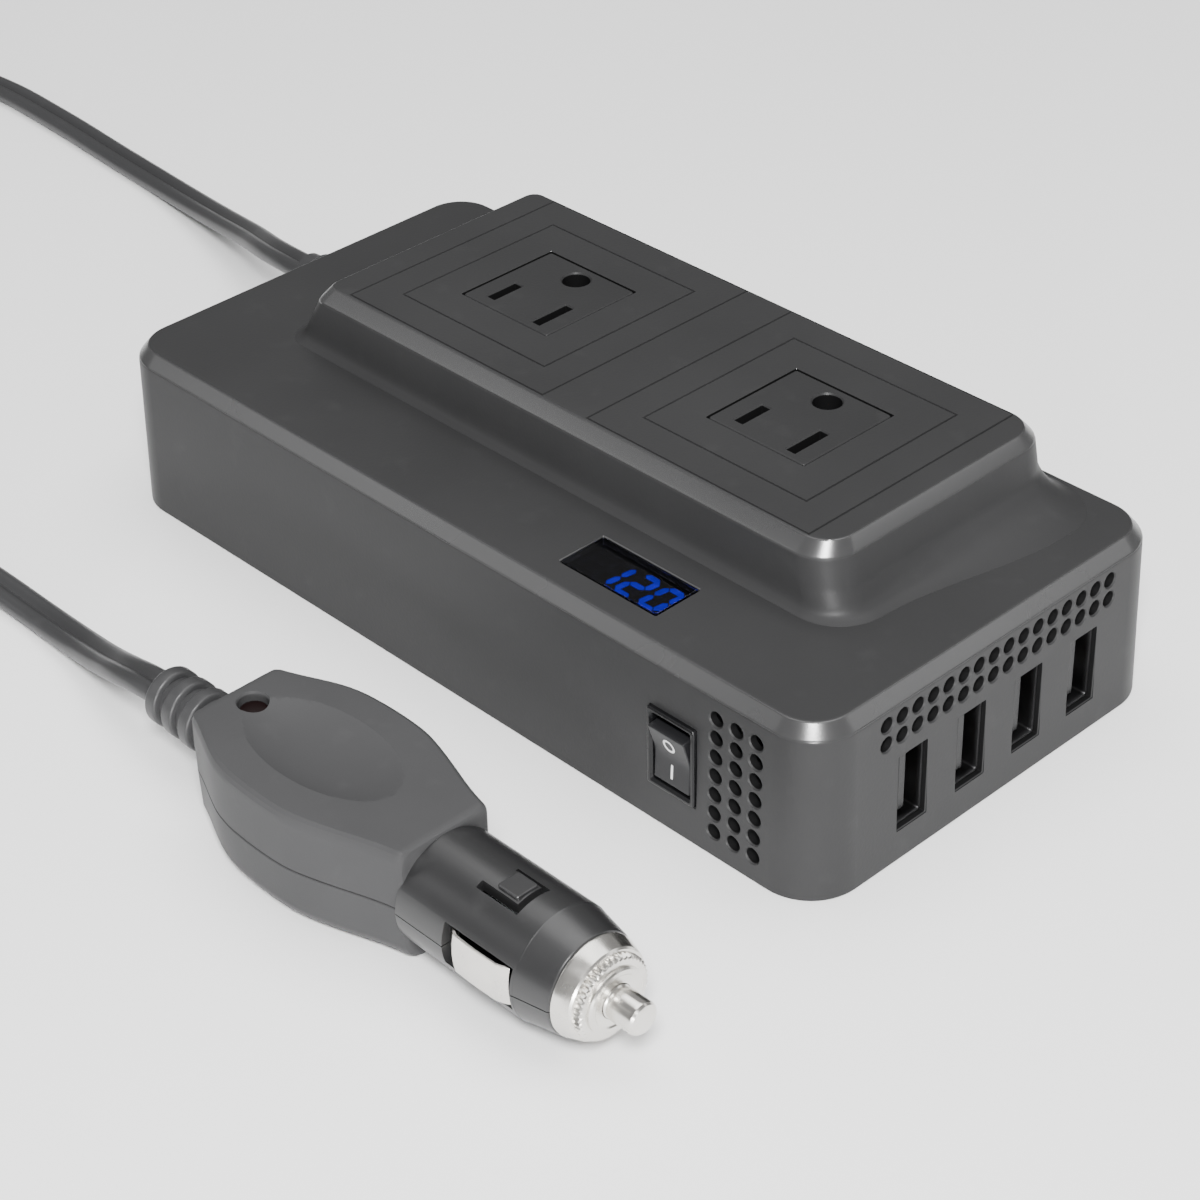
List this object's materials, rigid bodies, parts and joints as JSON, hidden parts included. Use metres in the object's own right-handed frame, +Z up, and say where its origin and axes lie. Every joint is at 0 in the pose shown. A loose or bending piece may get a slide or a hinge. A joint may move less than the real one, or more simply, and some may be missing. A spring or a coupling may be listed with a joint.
{
  "type": "power inverter",
  "caption": "Low rounded case with a raised outlet block, display, rocker switch, USB ports, vents and a flat lead to a vehicle socket plug.",
  "frame": {"origin": "middle of the case underside", "axes": "+Z up, +X towards the USB end, -Y towards the side with the rocker switch"},
  "size_m": [0.4028, 0.1474, 0.046],
  "materials": {
    "case_plastic": "fine matte moulding grain, dark grey",
    "screw_steel": "zinc-plated steel",
    "brass_contact": "stamped brass",
    "carrier_plastic": "plain insulating plastic",
    "window_plastic": "smoked glossy window",
    "display_body": "black display body",
    "board": "green solder mask",
    "switch_plastic": "black glossy moulding",
    "rocker_plastic": "black satin moulding",
    "tinned_metal": "tinned brass tabs",
    "port_metal": "blackened steel shell",
    "port_plastic": "black insulator",
    "ferrite": "sintered ferrite",
    "coil_tape": "yellow winding tape",
    "copper_wire": "enamelled copper",
    "capacitor_sleeve": "dark blue shrink sleeve",
    "heat_sink_metal": "extruded aluminium",
    "transistor_body": "moulded epoxy",
    "fan_plastic": "black moulding",
    "red_insulation": "red wire insulation",
    "black_insulation": "black wire insulation",
    "lead_rubber": "soft matte PVC",
    "plug_plastic": "fine matte moulding grain, dark grey",
    "lamp_lens": "dark red lens",
    "lamp": "red lamp",
    "nickel": "bright nickel plating",
    "fuse_glass": "clear glass tube",
    "spring_steel": "spring steel wire"
  },
  "bodies": {
    "inverter": {"main_shell": "case_plastic", "base_plate": "case_plastic", "case_screws": "screw_steel", "outlet_block": "case_plastic", "left_outlet_face": "case_plastic", "right_outlet_face": "case_plastic", "line_contacts": "brass_contact", "neutral_contacts": "brass_contact", "ground_contacts": "brass_contact", "contact_carrier": "carrier_plastic", "display_window": "window_plastic", "display_module": "display_body", "display_board": "board", "switch_frame": "switch_plastic", "switch_terminals": "tinned_metal", "usb_shell_1": "port_metal", "usb_shell_2": "port_metal", "usb_shell_3": "port_metal", "usb_shell_4": "port_metal", "usb_tongue_1": "port_plastic", "usb_tongue_2": "port_plastic", "usb_tongue_3": "port_plastic", "usb_tongue_4": "port_plastic", "usb_contacts": "brass_contact", "usb_board": "board", "main_board": "board", "transformer_core": "ferrite", "transformer_coil": "coil_tape", "board_capacitors": "capacitor_sleeve", "input_heat_sink": "heat_sink_metal", "output_heat_sink": "heat_sink_metal", "input_transistors": "transistor_body", "output_transistors": "transistor_body", "filter_choke": "copper_wire", "fan_frame": "fan_plastic", "positive_wire": "red_insulation", "negative_wire": "black_insulation", "cord_relief": "lead_rubber", "cord": "lead_rubber", "plug_relief": "lead_rubber", "plug_upper_half": "plug_plastic", "plug_lower_half": "plug_plastic", "plug_screw": "screw_steel", "plug_lamp_lens": "lamp_lens", "plug_lamp": "lamp", "plug_nose_cap": "nickel", "plug_spring": "spring_steel"},
    "rocker": {"switch_rocker": "rocker_plastic"},
    "fan": {"fan_rotor": "fan_plastic"},
    "tip": {"plug_tip": "nickel", "plug_fuse_glass": "fuse_glass", "plug_fuse_caps": "nickel"},
    "front_contact": {"plug_front_contact": "nickel"},
    "rear_contact": {"plug_rear_contact": "nickel"}
  },
  "joints": [
    {"name": "rocker_tilt", "type": "hinge", "parent": "inverter", "child": "rocker", "pos_m": [0.0577, -0.04, 0.01525], "axis": [-1, 0, 0], "range_deg": [0, 14]},
    {"name": "fan_spin", "type": "hinge", "parent": "inverter", "child": "fan", "pos_m": [-0.0782, -0.014, 0.0154], "axis": [1, 0, 0], "continuous": true},
    {"name": "tip_press", "type": "slide", "parent": "inverter", "child": "tip", "axis": [-1, 0, 0], "range_m": [0, 0.004], "stiffness_N_per_m": 900, "springref_m": -0.004, "deforming": ["plug_spring"]},
    {"name": "front_contact_flex", "type": "hinge", "parent": "inverter", "child": "front_contact", "pos_m": [0.0585, -0.0937, 0.0115], "axis": [0, 0, 1], "range_deg": [0, 8], "stiffness_Nm_per_rad": 0.04, "springref_deg": -20.05},
    {"name": "rear_contact_flex", "type": "hinge", "parent": "inverter", "child": "rear_contact", "pos_m": [0.0585, -0.0803, 0.0105], "axis": [0, 0, -1], "range_deg": [0, 8], "stiffness_Nm_per_rad": 0.04, "springref_deg": -20.05}
  ]
}
